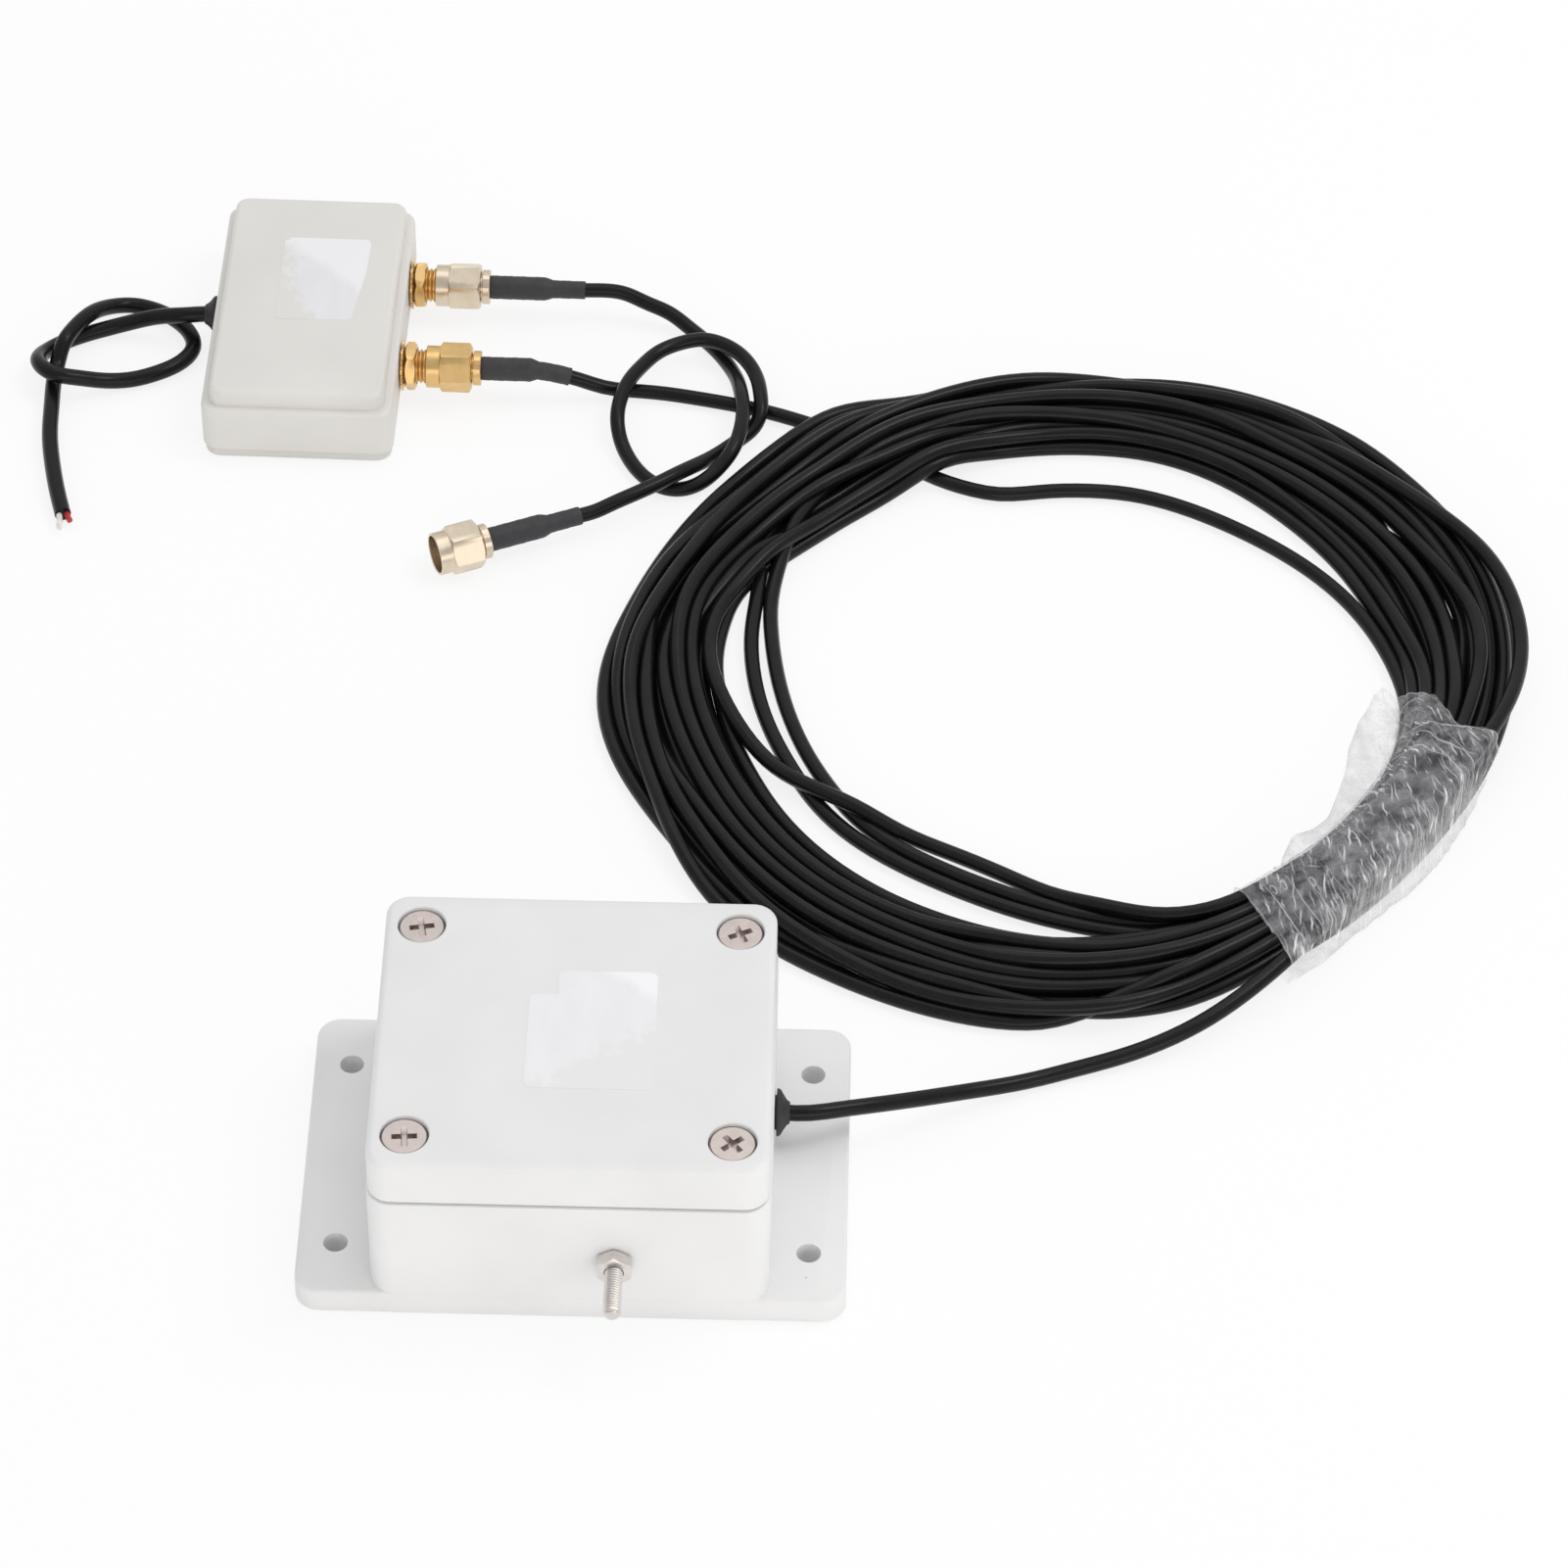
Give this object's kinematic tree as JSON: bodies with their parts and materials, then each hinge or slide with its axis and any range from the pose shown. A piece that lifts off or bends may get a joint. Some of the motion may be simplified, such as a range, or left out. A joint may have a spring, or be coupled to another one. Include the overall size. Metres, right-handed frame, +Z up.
{
  "type": "active receiving antenna kit",
  "caption": "Active receiving antenna kit: flanged amplifier box with stud terminal, film-wrapped coiled coaxial feeder, power injector with coaxial jacks, patch and power cables.",
  "frame": {"origin": "centre of the antenna box underside, on the plane everything rests on", "axes": "+X to the right of the antenna box, +Y from its stud terminal towards the injector, +Z up"},
  "size_m": [0.2731, 0.2721, 0.0358],
  "materials": {
    "grey_case": "light grey moulded plastic, fine satin",
    "warm_case": "warm grey moulded plastic, fine satin",
    "rubber": "black rubber",
    "seal": "grey seal rubber",
    "nickel": "nickel-plated steel",
    "gold": "gold-plated brass",
    "pale_gold": "pale gold-plated brass",
    "insulator": "white fluoropolymer",
    "board": "green circuit board",
    "component": "black moulded component",
    "ferrite": "wound ferrite",
    "cable": "black cable jacket, semi-matte",
    "shrink": "charcoal heat-shrink",
    "white_wire": "white wire insulation",
    "red_wire": "red wire insulation",
    "label": "blank label film",
    "film": "clear stretch film"
  },
  "bodies": {
    "kit": {"antenna_box_base": "grey_case", "terminal_stud": "nickel", "terminal_lug": "nickel", "board_screw_1": "nickel", "board_screw_2": "nickel", "amplifier_board": "board", "injector_board": "board", "amplifier_transistor": "component", "supply_capacitor": "component", "output_transformer": "ferrite", "feed_choke": "ferrite", "input_lead": "red_wire", "power_wire_red": "red_wire", "power_wire_white": "white_wire", "feeder_tail": "cable", "feeder_coil": "cable", "feeder_run_antenna": "cable", "feeder_run_injector": "cable", "patch_cable": "cable", "power_cable": "cable", "antenna_grommet": "rubber", "power_grommet": "rubber", "injector_label": "label", "injector_case": "warm_case", "injector_base": "warm_case", "coil_film": "film", "jack_upper": "gold", "jack_washer_upper": "gold", "jack_nut_upper": "gold", "jack_contact_upper": "gold", "jack_insulator_upper": "insulator", "jack_lower": "gold", "jack_washer_lower": "gold", "jack_nut_lower": "gold", "jack_contact_lower": "gold", "jack_insulator_lower": "insulator", "plug_body_upper": "pale_gold", "plug_pin_upper": "gold", "plug_insulator_upper": "insulator", "plug_sleeve_upper": "shrink", "plug_body_lower": "gold", "plug_pin_lower": "gold", "plug_insulator_lower": "insulator", "plug_sleeve_lower": "shrink", "plug_body_free": "pale_gold", "plug_pin_free": "gold", "plug_insulator_free": "insulator", "plug_sleeve_free": "shrink"},
    "lid": {"antenna_box_lid": "grey_case", "lid_seal": "seal", "antenna_label": "label"},
    "screw_1": {"lid_screw_1": "nickel"},
    "screw_2": {"lid_screw_2": "nickel"},
    "screw_3": {"lid_screw_3": "nickel"},
    "screw_4": {"lid_screw_4": "nickel"},
    "stud_nut": {"terminal_nut": "nickel"},
    "coupling_upper": {"plug_nut_upper": "pale_gold"},
    "coupling_lower": {"plug_nut_lower": "gold"},
    "coupling_free": {"plug_nut_free": "pale_gold"}
  },
  "joints": [
    {"name": "lid_lift", "type": "slide", "parent": "kit", "child": "lid", "axis": [0, 0, 1], "range_m": [0, 0.03]},
    {"name": "screw_1_turn", "type": "hinge", "parent": "lid", "child": "screw_1", "pos_m": [-0.02605, 0.02285, 0.035], "axis": [0, 0, 1], "continuous": true},
    {"name": "screw_2_turn", "type": "hinge", "parent": "lid", "child": "screw_2", "pos_m": [0.02605, 0.02285, 0.035], "axis": [0, 0, 1], "continuous": true},
    {"name": "screw_3_turn", "type": "hinge", "parent": "lid", "child": "screw_3", "pos_m": [-0.02605, -0.02285, 0.035], "axis": [0, 0, 1], "continuous": true},
    {"name": "screw_4_turn", "type": "hinge", "parent": "lid", "child": "screw_4", "pos_m": [0.02605, -0.02285, 0.035], "axis": [0, 0, 1], "continuous": true},
    {"name": "stud_nut_turn", "type": "hinge", "parent": "kit", "child": "stud_nut", "pos_m": [0.0074, -0.03135, 0.0141], "axis": [0, -1, 0], "continuous": true},
    {"name": "coupling_upper_turn", "type": "hinge", "parent": "kit", "child": "coupling_upper", "pos_m": [-0.03175, 0.2143, 0.0066], "axis": [0.9998, -0.0187, 0], "continuous": true},
    {"name": "coupling_lower_turn", "type": "hinge", "parent": "kit", "child": "coupling_lower", "pos_m": [-0.03218, 0.19151, 0.0066], "axis": [0.9998, -0.0187, 0], "continuous": true},
    {"name": "coupling_free_turn", "type": "hinge", "parent": "kit", "child": "coupling_free", "pos_m": [-0.02824, 0.14547, 0.0041], "axis": [0.9178, 0.3971, 0], "continuous": true}
  ]
}
